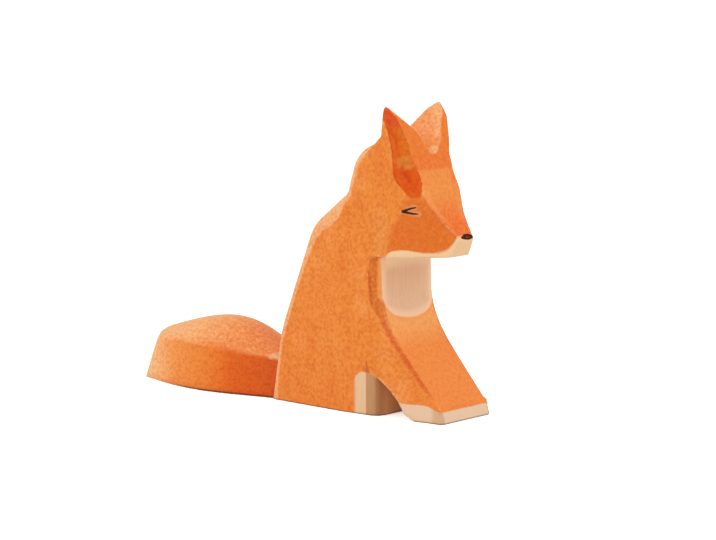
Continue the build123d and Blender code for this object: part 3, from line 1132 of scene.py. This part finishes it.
@dataclass
class Carving:
    """A piece of wood whose surface keeps the slight facets and soft edges of the knife."""

    node: str
    name: str
    grid: float
    weld: float = 0.002
    rounds: int = 1
    wave_size: float = 9.0
    wave_depth: float = 0.1
    facet_size: float = 3.2
    facet_depth: float = 0.06
    swell: float = 0.14
    foot_low: float = 0.2
    foot_high: float = 2.0
    seed: int = 7
    skin: Skin = field(init=False)
    obj: bpy.types.Object = field(init=False)

    def build(self, finish: bpy.types.Material) -> None:
        """Makes the mesh, marks it and dresses it.

        Args:
            finish: Material of the wood.
        """
        self.obj = linked(self.name, self._merged())
        remesh = self.obj.modifiers.new("grid", "REMESH")
        remesh.mode = "VOXEL"
        remesh.voxel_size = self.grid * MM
        snap = self.obj.modifiers.new("snap", "SHRINKWRAP")
        snap.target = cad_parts[self.node]
        snap.wrap_method = "NEAREST_SURFACEPOINT"
        keep_result(self.obj)
        low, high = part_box(self.node)
        skin = Skin(self.obj.data)
        skin.relax(self.rounds)
        self.soften(skin)
        skin.write(low, high)
        self._knife_tree(finish).apply(self.obj)
        self.skin = Skin(self.obj.data)
        self.skin.write(low, high)
        self.mark()
        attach(self.obj, "root")
        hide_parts(self.node)
        triangles = sum(len(face.vertices) - 2 for face in self.obj.data.polygons)
        LOG.info("%s: %d triangles", self.name, triangles)

    def slot(self) -> str:
        """Name of the record's finish."""
        return "stained_wood"

    def fill(self, shape: bmesh.types.BMesh) -> None:
        """Closes cuts that are too fine for the grid. A plain piece has none.

        Args:
            shape: The mesh of the piece.
        """

    def soften(self, skin: Skin) -> None:
        """Rounds the places that hands wear most. A plain piece has none.

        Args:
            skin: The points of the piece.
        """

    def mark(self) -> None:
        """Stores where the edges are worn, and the creases that get painted shade."""
        bulge = self.skin.bulge(2) / self.grid
        self.skin.put(Mark.WORN, ease(bulge, 0.035, 0.12))
        # Creases, where shade is painted
        self.skin.put(Mark.CREASE, ease(-bulge, 0.02, 0.09))

    def _merged(self) -> bpy.types.Mesh:
        """Copies the solid's mesh and joins its loose triangles.

        Returns:
            The closed mesh.
        """
        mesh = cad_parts[self.node].data.copy()
        mesh.materials.clear()
        shape = bmesh.new()
        shape.from_mesh(mesh)
        bmesh.ops.remove_doubles(shape, verts=shape.verts, dist=self.weld * MM)
        self.fill(shape)
        shape.to_mesh(mesh)
        shape.free()
        return mesh

    def _knife_tree(self, finish: bpy.types.Material) -> ShapeTree:
        """Builds the tree that cuts the facets.

        Args:
            finish: Material of the wood.

        Returns:
            The tree.
        """
        tree = ShapeTree(
            f"{self.name}_knife",
            {
                "Wave Size": ("NodeSocketFloat", self.wave_size * MM),
                "Wave Depth": ("NodeSocketFloat", self.wave_depth * MM),
                "Facet Size": ("NodeSocketFloat", self.facet_size * MM),
                "Facet Depth": ("NodeSocketFloat", self.facet_depth * MM),
                "Swell": ("NodeSocketFloat", self.swell * MM),
                "Seed": ("NodeSocketInt", self.seed),
                "Finish": ("NodeSocketMaterial", finish),
            },
        )
        place = tree.node("GeometryNodeInputPosition").outputs[0]
        height = Field(tree, tree.node("ShaderNodeSeparateXYZ", sockets={0: place}).outputs[2])
        wave = tree.node(
            "ShaderNodeTexNoise",
            {"noise_dimensions": "4D"},
            {
                "Vector": place,
                "W": tree.size("Seed"),
                "Scale": tree.size("Wave Size") ** -1.0,
                "Detail": 2.0,
            },
        )
        facet = tree.node(
            "ShaderNodeTexVoronoi",
            {"voronoi_dimensions": "3D", "feature": "F1"},
            {"Vector": place, "Scale": tree.size("Facet Size") ** -1.0},
        )
        dish = Field(tree, facet.outputs["Distance"])
        inward = Field(tree, wave.outputs[0]) * tree.size("Wave Depth")
        inward = inward + (1 - dish * dish).most(0.0) * tree.size("Facet Depth")
        foot = height.rise(self.foot_low * MM, self.foot_high * MM)
        inward = (inward - tree.size("Swell")) * foot
        normal = tree.node("GeometryNodeInputNormal").outputs[0]
        push = tree.node(
            "ShaderNodeVectorMath", {"operation": "SCALE"}, {0: normal, "Scale": 0 - inward}
        )
        moved = tree.node(
            "GeometryNodeSetPosition",
            sockets={"Geometry": tree.inputs["Geometry"], "Offset": push.outputs[0]},
        )
        smooth = tree.node("GeometryNodeSetShadeSmooth", sockets={0: moved.outputs[0]})
        tree.close(smooth.outputs[0], tree.inputs["Finish"])
        return tree


@dataclass(frozen=True)
class Places:
    """Where the points of the body lie in millimetres, and how far the wood faces each way."""

    depth: np.ndarray
    offset: np.ndarray
    height: np.ndarray
    aside: np.ndarray
    inset: np.ndarray
    forward: np.ndarray
    sideways: np.ndarray


@dataclass
class BodyCarving(Carving):
    """The head, the chest, the legs and the back, with the places of its cuts."""

    front: float = 61.9
    half_board: float = 12.5
    haunch_cut: float = 2.8
    haunch_start: float = 36.4
    haunch_run: float = 29.2
    haunch_top: float = 64.0
    foreleg_cut: float = 0.9
    foreleg_run: float = 22.3
    jaw_height: float = 46.4
    round_edge: float = 4.4
    plug_width: float = 0.9
    plug_reach: float = 1.6
    groove: float = 0.06
    toe_rounds: int = 7
    far_ridge: float = 1.9
    notch_middle: float = 1.8
    notch_slope: float = 30.0

    # Corners of lines on the side, as depth and height
    notch_start: tuple[float, float] = (13.9, 75.7)
    back: Points = (
        (23.5, 79.7), (32.8, 76.0), (36.4, 63.8), (49.3, 53.7), (61.9, 21.6), (65.6, 0.0),
    )
    arch: Points = (
        (13.8, 1.7), (15.6, 4.2), (17.6, 6.9), (20.2, 9.1), (22.9, 10.7), (25.6, 11.6),
    )
    kerf: Points = ((24.2, 11.35), (27.9, 14.05))
    lids: Sequence[Points] = (
        ((14.9, 60.05), (12.7, 60.95), (11.7, 61.3)),
        ((14.9, 60.05), (12.2, 59.47), (10.7, 59.42)),
    )

    # Depths of edges at heights
    chest: Points = (
        (0, 0), (4.5, 1.5), (6, 3.2), (20.7, 15.9), (24, 18.4), (28, 20.4), (32, 21.7),
        (37.7, 22.3), (90, 22.3),
    )
    face: Points = (
        (0, 0), (4.5, 1.5), (6, 3.2), (15.9, 11.9), (24, 18.4), (32, 21.7), (46.2, 22.3),
        (46.5, 3.2), (52.8, 0.3), (60, 7), (75.7, 13.9), (79.7, 14.5), (86, 16.8), (90, 20.4),
    )
    back_band: Points = (
        (0, 63.1), (6, 62.9), (18, 60.9), (28, 57.1), (34, 54.6), (40, 52.0), (43, 50.5),
        (47.4, 48.2), (50, 46.4), (52.4, 44.1), (54.3, 40.5), (56.9, 37.5), (59.3, 36.1),
        (62, 35.9),
    )
    hollow_front: Points = ((62.6, 11.0), (64.2, 10.1), (66.2, 10.2), (68.0, 10.3), (72, 8))
    hollow_rear: Points = (
        (62.6, 11.9), (64.3, 13.5), (65.7, 14.7), (67.2, 15.9), (68.5, 16.8), (70.4, 17.7),
        (74.1, 18.2), (77, 18.4), (79.8, 19.0), (82.6, 19.8), (85.4, 21.0), (87.5, 21.5),
        (89.5, 22.0),
    )

    # Distance of the hollow's edge from the middle, and widths of the bevels, at heights
    hollow_edge: Points = (
        (67, 6.0), (69.5, 6.6), (72.6, 6.4), (75.5, 7.9), (78.9, 9.2), (81.9, 9.4), (85.3, 10.6),
        (88.6, 10.8),
    )
    bevel_width: Points = (
        (0, 0.8), (5.6, 1.1), (11.6, 1.4), (24.6, 1.7), (28.9, 2.2), (30.9, 3.3), (33.7, 4.2),
        (41.9, 4.2), (46.4, 3.6),
    )
    bevel_soft: Points = ((0, 1.4), (26, 1.4), (31, 0.3), (50, 0.3))

    # Distances of the notch's walls from its middle, at heights over its sloping floor
    near_wall: Points = ((0, 1.5), (5.0, 6.0), (9.2, 14.3))
    far_wall: Points = ((0, 1.5), (6.6, 6.3), (9.2, 10.7))

    # Corners of the edge between the side and the top of the muzzle, as depth, offset and height
    ridge: Sequence[tuple[float, float, float]] = (
        (1.2, 3.4, 53.1), (2.7, 4.2, 54.5), (4.2, 5.0, 56.1), (5.8, 5.9, 58.1), (7.4, 7.0, 60.1),
        (8.8, 7.9, 62.6), (10.2, 8.6, 65.7),
    )

    def fill(self, shape: bmesh.types.BMesh) -> None:
        """Plugs the kerf of the saw near both side faces, down to a shallow groove.

        Args:
            shape: The mesh of the body.
        """
        (start, low), (end, high) = self.kerf
        length = math.hypot(end - start, high - low)
        tilt = Matrix.Rotation(math.atan2(high - low, end - start), 4, "Y")
        size = Matrix.Diagonal((length * MM, self.plug_reach * MM, self.plug_width * MM, 1.0))
        middle = self.half_board - self.groove - self.plug_reach / 2
        for offset in (-middle, middle):
            place = Vector((self.front - (start + end) / 2, offset, (low + high) / 2)) * MM
            matrix = Matrix.Translation(place) @ tilt @ size
            bmesh.ops.create_cube(shape, size=1.0, matrix=matrix)

    def soften(self, skin: Skin) -> None:
        """Rounds the outer front corners of the forepaws.

        Args:
            skin: The points of the body.
        """
        depth = self.front - skin.points[:, 0]
        height = skin.points[:, 2]
        corner = fade(depth, 5, 6.5) * ease(np.abs(skin.points[:, 1]), 8.8, 9.8)
        corner *= ease(height, 0.3, 1.5) * fade(height, 8, 9.5)
        skin.relax(self.toe_rounds, corner)

    def mark(self) -> None:
        """Stores the marks of the ears, the bevels, the back edges and the face."""
        super().mark()
        normals = self.skin.normals()
        offset = self.skin.points[:, 1]
        aside = np.abs(offset)
        at = Places(
            depth=self.front - self.skin.points[:, 0],
            offset=offset,
            height=self.skin.points[:, 2],
            aside=aside,
            inset=self.half_board - aside,
            forward=normals[:, 0],
            sideways=np.abs(normals[:, 1]),
        )
        self._mark_ears(at)
        self._mark_bevels(at)
        self._mark_back(at)
        self._mark_face(at)

    def _mark_ears(self, at: Places) -> None:
        """Stores the hollows beside the notch and the insides of the ears.

        Args:
            at: Places of the points.
        """
        slope = math.radians(self.notch_slope)
        depth, height = self.notch_start
        rise = (at.height - height) * math.cos(slope) - (at.depth - depth) * math.sin(slope)
        across = at.offset - self.notch_middle
        wall = np.where(across < 0, self._on(self.near_wall, rise), self._on(self.far_wall, rise))
        lip = np.abs(across) - wall
        outside = np.where(rise > 0, ease(lip, 0.1, 0.5), 1.0)
        ridge = self._on(self.hollow_edge, at.height) + self.far_ridge * (at.offset > 0)
        hollow = ease(at.aside - ridge, -0.1, 0.5) * outside
        hollow *= ease(at.depth - self._on(self.hollow_front, at.height), -0.1, 0.5)
        hollow *= ease(self._on(self.hollow_rear, at.height) - at.depth, -0.1, 0.5)
        hollow *= ease(at.height, 62.2, 66.0) * ease(at.sideways, 0.12, 0.3)
        hollow *= ease(at.inset, 0.08, 0.25)
        tip = ease(at.height, 85.0, 86.6) * outside * ease(at.sideways, 0.05, 0.2)
        self.skin.put(Mark.HOLLOW, np.maximum(hollow, tip))
        inside = fade(lip, 0.25, 0.55) * ease(rise, -0.2, 0.2) * fade(at.forward, 0.6, 0.85)
        inside *= ease(at.depth, 13.0, 14.0) * fade(at.depth, 24, 27)
        self.skin.put(Mark.EAR_INSIDE, inside)

    def _mark_bevels(self, at: Places) -> None:
        """Stores the bevels of the chest and the forelegs.

        Args:
            at: Places of the points.
        """
        foreleg = self.foreleg_cut * np.clip(1 - at.depth / self.foreleg_run, 0, 1)
        foreleg *= at.height < self.jaw_height
        gap = at.depth - self._on(self.chest, at.height)
        soft = self._on(self.bevel_soft, at.height)
        bevel = ease((self._on(self.bevel_width, at.height) - gap) / soft, -0.3, 0.7)
        bevel *= ease(gap, -0.3, 0.1) * fade(at.height, self.jaw_height - 1.6, self.jaw_height)
        bevel *= ease(at.inset - foreleg, -0.1, 0.1) * fade(at.inset - foreleg, 1.2, 1.6)
        self.skin.put(Mark.BEVEL, bevel)

    def _mark_back(self, at: Places) -> None:
        """Stores the rounded edges of the crown and the back, and the worn rim of the arch.

        Args:
            at: Places of the points.
        """
        haunch = np.clip((at.depth - self.haunch_start) / self.haunch_run, 0, 1)
        haunch *= self.haunch_cut * (at.height < self.haunch_top)
        edge = ease(self.round_edge - self._from_line(self.back, at.depth, at.height), 0.0, 0.8)
        edge *= ease(at.inset - haunch, 0.02, 0.4) * ease(self.round_edge - at.inset, -0.3, 0.5)
        band = ease(at.depth - self._on(self.back_band, at.height), -0.2, 0.3)
        band *= ease(at.sideways, 0.2, 0.35) * fade(at.height, 61, 62.5)
        edge = np.maximum(edge * ease(at.height, 58, 62), band)
        arch = fade(self._from_line(self.arch, at.depth, at.height), 0.4, 0.8)
        arch *= ease(at.sideways, 0.5, 0.7) * ease(at.height, 4.8, 5.4)
        self.skin.put(Mark.BACK_EDGE, np.maximum(edge, arch) * fade(at.height, 78, 80))

    def _mark_face(self, at: Places) -> None:
        """Stores the fronts, the ridges of the muzzle with their streaks, and the eyes' rims.

        Args:
            at: Places of the points.
        """
        front = fade(at.depth - self._on(self.face, at.height), 2, 3)
        self.skin.put(Mark.FRONT, ease(at.forward, 0.5, 0.72) * front)
        ridge = self._from_line(self.ridge, at.depth, at.aside, at.height)
        self.skin.put(Mark.RIDGE, fade(ridge, 0.2, 0.9))
        streak = ease(ridge, 0.3, 0.7) * fade(ridge, 1.6, 3.0)
        streak *= fade(at.aside, 7.4, 8.2) * ease(at.height, 55, 59)
        self.skin.put(Mark.STREAK, streak)
        lids = [self._from_line(lid, at.depth, at.height) for lid in self.lids]
        self.skin.put(Mark.EYE_RIM, fade(np.minimum(*lids), 0.5, 0.9) * ease(at.aside, 5, 6))

    @staticmethod
    def _on(line: Points, values: np.ndarray) -> np.ndarray:
        """Reads a line at many values."""
        return np.interp(values, [place for place, _ in line], [value for _, value in line])

    @staticmethod
    def _from_line(line: Sequence[tuple[float, ...]], *parts: np.ndarray) -> np.ndarray:
        """Distance from a line of straight pieces.

        Args:
            line: Corners of the line.
            parts: Coordinates of the points, as many as each corner has.

        Returns:
            The distances.
        """
        places, corners = np.stack(parts, axis=1), np.array(line)
        nearest = np.full(len(places), np.inf)
        for start, end in zip(corners, corners[1:]):
            step = end - start
            share = np.clip((places - start) @ step / (step @ step), 0, 1)
            gap = np.linalg.norm(places - start - share[:, None] * step, axis=1)
            nearest = np.minimum(nearest, gap)
        return nearest


@dataclass
class TailCarving(Carving):
    """The leaf-shaped tail behind the body."""

    crest_blur: int = 12

    def slot(self) -> str:
        """Name of the record's finish."""
        return "tail_wood"

    def mark(self) -> None:
        """Stores the crest, with soft edges, besides the worn edges and the creases."""
        super().mark()
        top = ease(self.skin.normals()[:, 2], 0.1, 0.8)
        for _ in range(self.crest_blur):
            top = self.skin.around(top)
        self.skin.put(Mark.TOP, top)


@dataclass
class Eyes:
    """The closed eyes: two strokes on each side of the head, drawn on the wood."""

    front: float = 61.9
    beyond: float = 13.5
    width: float = 0.78
    lift: float = -0.12
    upper: Points = ((15.1, 60.05), (13.7, 60.55), (12.6, 61.0), (11.2, 61.3))
    lower: Points = ((15.0, 60.05), (13.2, 59.68), (12.2, 59.47), (10.7, 59.42))
    swell: Points = ((0, 0.85), (0.12, 1.0), (0.45, 0.9), (0.85, 0.65), (1, 0.25))
    steps: int = 28
    sides: int = 8

    def build(self, head: bpy.types.Object, finish: bpy.types.Material) -> None:
        """Draws the strokes on the head.

        Args:
            head: The carving that they lie on.
            finish: Material of the strokes.
        """
        mesh = bpy.data.meshes.new("eye_strokes")
        corners: list[tuple[float, float, float]] = []
        edges: list[tuple[int, int]] = []
        for side in (-1, 1):
            for stroke in (self.upper, self.lower):
                start = len(corners)
                for depth, height in stroke:
                    place = (self.front - depth, side * self.beyond, height)
                    corners.append(tuple(part * MM for part in place))
                edges += [(start + step, start + step + 1) for step in range(len(stroke) - 1)]
        mesh.from_pydata(corners, edges, [])
        obj = linked("eye_strokes", mesh)
        self._stroke_tree(head, finish).apply(obj)
        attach(obj, "root")
        LOG.info("eye_strokes: %d faces", len(obj.data.polygons))

    def _stroke_tree(self, head: bpy.types.Object, finish: bpy.types.Material) -> ShapeTree:
        """Builds the tree that casts each stroke on the surface and gives it its width.

        Args:
            head: The carving that the strokes lie on.
            finish: Material of the strokes.

        Returns:
            The tree.
        """
        tree = ShapeTree(
            "drawn_stroke",
            {
                "Surface": ("NodeSocketObject", head),
                "Width": ("NodeSocketFloat", self.width * MM),
                "Lift": ("NodeSocketFloat", self.lift * MM),
                "Finish": ("NodeSocketMaterial", finish),
            },
        )
        line = tree.node("GeometryNodeMeshToCurve", sockets={0: tree.inputs["Geometry"]})
        fine = tree.node(
            "GeometryNodeResampleCurve", sockets={"Curve": line.outputs[0], "Count": self.steps}
        )
        place = tree.node("GeometryNodeInputPosition").outputs[0]
        side = Field(tree, tree.node("ShaderNodeSeparateXYZ", sockets={0: place}).outputs[1])
        inward = tree.node("ShaderNodeCombineXYZ", sockets={1: 0 - side.sign()})
        target = tree.node(
            "GeometryNodeObjectInfo",
            {"transform_space": "RELATIVE"},
            {"Object": tree.inputs["Surface"]},
        )
        hit = tree.node(
            "GeometryNodeRaycast",
            sockets={
                "Target Geometry": target.outputs["Geometry"],
                "Ray Direction": inward.outputs[0],
                "Ray Length": 1.0,
            },
        )
        lift = tree.node(
            "ShaderNodeVectorMath",
            {"operation": "SCALE"},
            {0: hit.outputs["Hit Normal"], "Scale": tree.size("Lift")},
        )
        laid = tree.node(
            "GeometryNodeSetPosition",
            sockets={
                "Geometry": fine.outputs[0],
                "Position": hit.outputs["Hit Position"],
                "Offset": lift.outputs[0],
            },
        )
        share = Field(tree, tree.node("GeometryNodeSplineParameter").outputs["Factor"])
        swell = share.along(self.swell)
        shaped = tree.node(
            "GeometryNodeSetCurveRadius", sockets={"Curve": laid.outputs[0], "Radius": swell}
        )
        ring = tree.node(
            "GeometryNodeCurvePrimitiveCircle",
            sockets={"Resolution": self.sides, "Radius": tree.size("Width") * 0.5},
        )
        bead = tree.node(
            "GeometryNodeCurveToMesh",
            sockets={
                "Curve": shaped.outputs[0],
                "Profile Curve": ring.outputs[0],
                "Scale": swell,
                "Fill Caps": True,
            },
        )
        smooth = tree.node("GeometryNodeSetShadeSmooth", sockets={0: bead.outputs[0]})
        tree.close(smooth.outputs[0], tree.inputs["Finish"])
        return tree


@dataclass
class Studio:
    """The paper floor, the soft light and the camera."""

    camera_place: tuple[float, float, float] = (0.57298, -0.67549, 0.15764)
    turn: float = 39.236
    rise: float = 7.689
    lens: float = 150.84
    sensor: float = 36.0
    sight: float = 50.0
    aim: tuple[float, float, float] = (0.0, 0.0, 0.04)
    floor_reach: float = 8.0
    world_strength: float = 0.78
    lamps: Sequence[tuple[str, tuple[float, float, float], float, float]] = (
        ("key", (-0.25, -0.75, 0.75), 0.7, 2.86),
        ("fill", (0.85, 0.1, 0.55), 0.8, 1.73),
    )

    def build(self, paper: bpy.types.Material) -> None:
        """Sets up floor, light and camera.

        Args:
            paper: Material of the floor.
        """
        self._floor(paper)
        self._world()
        for name, place, size, power in self.lamps:
            self._lamp(name, place, size, power)
        self._camera()
        view = bpy.context.scene.view_settings
        view.view_transform = "Standard"

    def _floor(self, paper: bpy.types.Material) -> None:
        """Lays the floor.

        Args:
            paper: Its material.
        """
        mesh = bpy.data.meshes.new("floor")
        reach = self.floor_reach
        corners = [(x, y, 0.0) for x, y in ((-1, -1), (1, -1), (1, 1), (-1, 1))]
        mesh.from_pydata([(x * reach, y * reach, z) for x, y, z in corners], [], [(0, 1, 2, 3)])
        mesh.materials.append(paper)
        linked("floor", mesh)

    def _world(self) -> None:
        """Surrounds the fox with even white light, and shows plain white to the camera."""
        world = bpy.data.worlds.new("studio")
        bpy.context.scene.world = world
        world.use_nodes = True
        tree = Tree(world.node_tree)
        strength = tree.seen() * (1 - self.world_strength) + self.world_strength
        sky = tree.node(
            "ShaderNodeBackground", sockets={"Color": tone(255, 255, 255), "Strength": strength}
        )
        tree.node("ShaderNodeOutputWorld", sockets={0: sky.outputs[0]})

    def _lamp(
        self, name: str, place: tuple[float, float, float], size: float, power: float
    ) -> None:
        """Hangs a soft lamp that points at the fox.

        Args:
            name: Name of the lamp.
            place: Where it hangs.
            size: Side of its square panel.
            power: Its power in watts.
        """
        data = bpy.data.lights.new(name, "AREA")
        data.shape = "SQUARE"
        data.size = size
        data.energy = power
        lamp = bpy.data.objects.new(name, data)
        lamp.location = place
        beam = Vector(self.aim) - Vector(place)
        lamp.rotation_euler = beam.to_track_quat("-Z", "Y").to_euler()
        bpy.context.scene.collection.objects.link(lamp)

    def _camera(self) -> None:
        """Places the camera where the photograph was taken from."""
        data = bpy.data.cameras.new("camera")
        data.lens = self.lens
        data.sensor_width = self.sensor
        data.clip_end = self.sight
        camera = bpy.data.objects.new("camera", data)
        camera.location = self.camera_place
        pitch = math.radians(90 - self.rise)
        camera.rotation_euler = (pitch, 0.0, math.radians(self.turn))
        bpy.context.scene.collection.objects.link(camera)
        bpy.context.scene.camera = camera


def main() -> None:
    """Builds the fox and its studio."""
    logging.basicConfig(level=logging.INFO, format="%(name)s %(message)s")
    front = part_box("body")[1].x / MM
    Studio().build(PaperFinish().build())
    body = BodyCarving("body", "fox_body", 0.41, front=front)
    body.build(BodyFinish(front).build())
    tail = TailCarving("tail", "fox_tail", 0.34, wave_size=7.0, seed=11)
    tail.build(TailFinish().build())
    Eyes(front).build(body.obj, InkFinish().build())
    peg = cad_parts["tail_dowel"]
    finish = PegFinish().build()
    for slot in peg.material_slots:
        slot.material = finish
    LOG.info("tail_dowel: %d triangles", len(peg.data.polygons))


if __name__ == "__main__":
    main()
